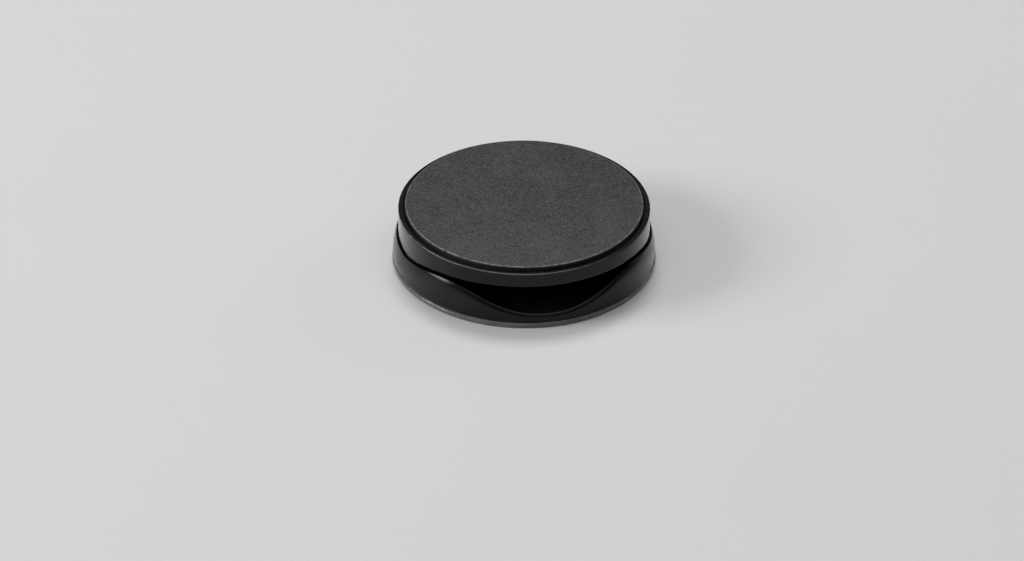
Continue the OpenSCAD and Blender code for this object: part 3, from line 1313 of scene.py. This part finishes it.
    def screw_boss(self, place: Point) -> Piece:
        """Models one boss under the liner, its foot rounded.

        Args:
            place: X and Y of its middle in millimetres.

        Returns:
            The new object.
        """
        tall = self.liner_z - self.boss_z + self.liner / 2
        Bench.clear_selection()
        bpy.ops.mesh.primitive_cylinder_add(
            vertices=Bench.HOLE_STEPS,
            radius=self.boss_r * MM,
            depth=tall * MM,
            location=(place[0] * MM, place[1] * MM, (self.boss_z + tall / 2) * MM),
        )
        made = Bench.name_new("screw_boss")
        Bench.settle(made)
        foot = (self.boss_z + self.cup.TOUCH) * MM
        Bench.round_edges(made, lambda a, b: a.z < foot and b.z < foot, self.boss_round)
        return made

    def web(self) -> Piece:
        """Models the web that joins the knuckle to the liner.

        Returns:
            The new object.
        """
        front = self.cup.hinge[0] - self.cup.barrel_r
        deep = math.sqrt(self.liner_r**2 - self.knuckle_half**2) - front
        top = self.liner_z + self.liner / 2
        tall = top - self.cup.hinge[1]
        size = (2 * (self.knuckle_half - self.web_gap), deep, tall)
        made = Bench.block("knuckle_web", size, (0.0, front + deep / 2, top - tall / 2))
        Bench.round_edges(made, lambda a, b: True, self.web_round, 2)
        return made

    def top_pad(self) -> Piece:
        """Models the glued-in pad, with its upper edge rounded.

        Returns:
            The new object.
        """
        soft = (self.pad_round, self.pad_round)
        points = [(0.0, self.pad_low), (self.pad_r, self.pad_low)]
        points += arc((self.pad_r - soft[0], self.pad_top - soft[1]), soft, 0, 90, 6)
        points += [(0.0, self.pad_top)]
        return Bench.turned("textured_pad", points)

    def liner_plate(self) -> Piece:
        """Models the liner: plate, hinge knuckle with its web, and the screw bosses.

        Returns:
            The new object.
        """
        soft = (self.liner_round, self.liner_round)
        half, reach = self.knuckle_half, self.knuckle_half + self.cup.CLEAR
        points = [(0.0, self.plate_z), (self.liner_r, self.plate_z)]
        points += arc((self.liner_r - soft[0], self.liner_z + soft[1]), soft, 0, -90, 4)
        made = Bench.turned("liner_moulding", points + [(0.0, self.liner_z)])
        Bench.combine(made, Bench.rod("knuckle", self.cup.barrel_r, (-half, half), self.cup.hinge), "UNION")
        Bench.combine(made, self.web(), "UNION")
        for place in self.bosses:
            Bench.combine(made, self.screw_boss(place), "UNION")
            Bench.combine(made, Bench.shifted(self.screw_hole(), place))
        ends, rounding = (-reach, reach), self.cup.bore_round
        Bench.combine(made, Bench.rod("knuckle_bore", self.knuckle_bore, ends, self.cup.hinge, rounding))
        return made

    def build(
        self,
        plastic: MouldedPlastic,
        inner: MouldedPlastic,
        sheet: PadSheet,
        glue: PlainSheet,
        steel: Material,
    ) -> None:
        """Builds the lid's pieces and dresses its screws and adhesive.

        Args:
            plastic: Finish of the shell.
            inner: Finish of the liner.
            sheet: Finish of the textured pad.
            glue: Finish of the adhesive.
            steel: Material of the screws.
        """
        place_piece(self.shell(), plastic.material(), Body.LID, Slot.LID, "lid_shell")
        place_piece(self.liner_plate(), inner.material(), Body.LID, Slot.INNER, "lid_liner")
        place_piece(self.top_pad(), sheet.material(), Body.LID, Slot.PAD, "top_pad")
        dress("top_adhesive", glue.material())
        dress("lid_screws", steel)


@dataclass(frozen=True)
class Softbox:
    """A soft light: its place in degrees and metres, its size, and its radiance, where 1 is white."""

    name: str
    azimuth: float
    elevation: float
    distance: float
    width: float
    height: float
    radiance: float


@dataclass
class Studio:
    """Pale floor, soft lights and the photograph's camera. Distances are in metres."""

    azimuth: float = -10.23
    elevation: float = 32.62
    distance: float = 1.2941
    aim: Triple = (-0.00322, -0.00687, 0.0)
    roll: float = 0.29
    lens: float = 272.66
    sensor: float = 36.0
    sight: Point = (0.01, 20.0)
    floor_size: float = 6.0
    floor_colour: Colour = (0.62, 0.62, 0.62)
    floor_dimming: float = 0.985
    floor_mottle_mm: float = 40.0
    floor_roughness: float = 0.55
    floor_specular: float = 0.25
    world_level: float = 0.08
    lights: tuple[Softbox, ...] = (
        Softbox("key_back", 172.0, 62.0, 1.2, 0.45, 0.35, 12.0),
        Softbox("overhead", 0.0, 82.0, 1.2, 1.6, 1.6, 0.9),
        Softbox("side_left", -90.0, 26.0, 1.2, 0.55, 0.4, 13.0),
        Softbox("fill_right", 112.0, 22.0, 1.3, 0.5, 0.3, 3.0),
    )

    def camera(self) -> None:
        """Stands the camera where the photograph was taken from."""
        spot = self.direction(self.azimuth, self.elevation) * self.distance
        lens = bpy.data.cameras.new("camera")
        lens.lens = self.lens
        lens.sensor_width = self.sensor
        lens.clip_start, lens.clip_end = self.sight
        lens.dof.use_dof = False
        made = bpy.data.objects.new("camera", lens)
        bpy.context.scene.collection.objects.link(made)
        facing = (Vector(self.aim) - spot).to_track_quat("-Z", "Y").to_matrix().to_4x4()
        tilt = Matrix.Rotation(math.radians(self.roll), 4, "Z")
        made.matrix_world = Matrix.Translation(spot) @ facing @ tilt
        bpy.context.scene.camera = made

    @staticmethod
    def direction(azimuth: float, elevation: float) -> Vector:
        """Works out a direction from the holder.

        Args:
            azimuth: Its angle round from the front, in degrees.
            elevation: Its angle above the floor, in degrees.

        Returns:
            The unit vector towards it.
        """
        turn, lift = math.radians(azimuth), math.radians(elevation)
        level = math.cos(lift)
        return Vector((math.sin(turn) * level, -math.cos(turn) * level, math.sin(lift)))

    def softbox(self, box: Softbox) -> None:
        """Hangs a soft light that faces the holder.

        Args:
            box: The light's place, size and radiance.
        """
        light = bpy.data.lights.new(box.name, "AREA")
        light.shape = "RECTANGLE"
        light.size = box.width
        light.size_y = box.height
        light.energy = box.radiance * math.pi * box.width * box.height
        made = bpy.data.objects.new(box.name, light)
        bpy.context.scene.collection.objects.link(made)
        spot = self.direction(box.azimuth, box.elevation) * box.distance
        facing = (-spot).to_track_quat("-Z", "Y").to_matrix().to_4x4()
        made.matrix_world = Matrix.Translation(spot) @ facing

    def floor(self) -> None:
        """The pale floor."""
        Bench.clear_selection()
        bpy.ops.mesh.primitive_plane_add(size=self.floor_size)
        made = Bench.name_new("studio_floor")
        shader = Shader("pale_floor")
        mottle = shader.noise(self.floor_mottle_mm)
        dim = tuple(part * self.floor_dimming for part in self.floor_colour)
        shader.varying(Base_Color=shader.blend(mottle, dim, self.floor_colour))
        shader.constant(Roughness=self.floor_roughness, Specular_IOR_Level=self.floor_specular)
        made.data.materials.append(shader.material)

    def sky(self) -> None:
        """An even grey surround."""
        world = bpy.data.worlds.new("studio")
        bpy.context.scene.world = world
        world.use_nodes = True
        soft = world.node_tree.nodes["Background"]
        soft.inputs["Color"].default_value = (1, 1, 1, 1)
        soft.inputs["Strength"].default_value = self.world_level

    def build(self) -> None:
        """Builds the stage."""
        bpy.context.scene.view_settings.view_transform = "Standard"
        self.camera()
        self.floor()
        self.sky()
        for light in self.lights:
            self.softbox(light)


def main() -> None:
    """Builds the stage, then the holder from the phone upwards."""
    logging.basicConfig(level=logging.INFO, format="%(message)s")
    rim, pad = high_mm("lid_shell"), high_mm("top_pad")
    steel = TurnedSteel("plated_steel").material()
    inner = MouldedPlastic("inner_matt_black", roughness=0.5, specular=0.35)
    # the lid's rim edge gets nicks and a painted highlight
    lid_plastic = MouldedPlastic("lid_satin_black", sheen=1.0, wear_and_highlight_rim=(rim.x, rim.z))
    nylon = PlainSheet("glide_nylon", (0.6, 0.6, 0.57), (0.52, 0.52, 0.5), 0.4)
    glue = PlainSheet("black_adhesive", (0.03, 0.03, 0.03), (0.02, 0.02, 0.02), 0.7)
    cup = Cup()
    Studio().build()
    Mount().build(ClearGel("clear_gel"), inner, nylon, steel)
    cup.build(MouldedPlastic("cup_satin_black"), inner, steel)
    Lid(cup).build(lid_plastic, inner, PadSheet("charcoal_pad", (pad.x, pad.z)), glue, steel)


if __name__ == "__main__":
    main()
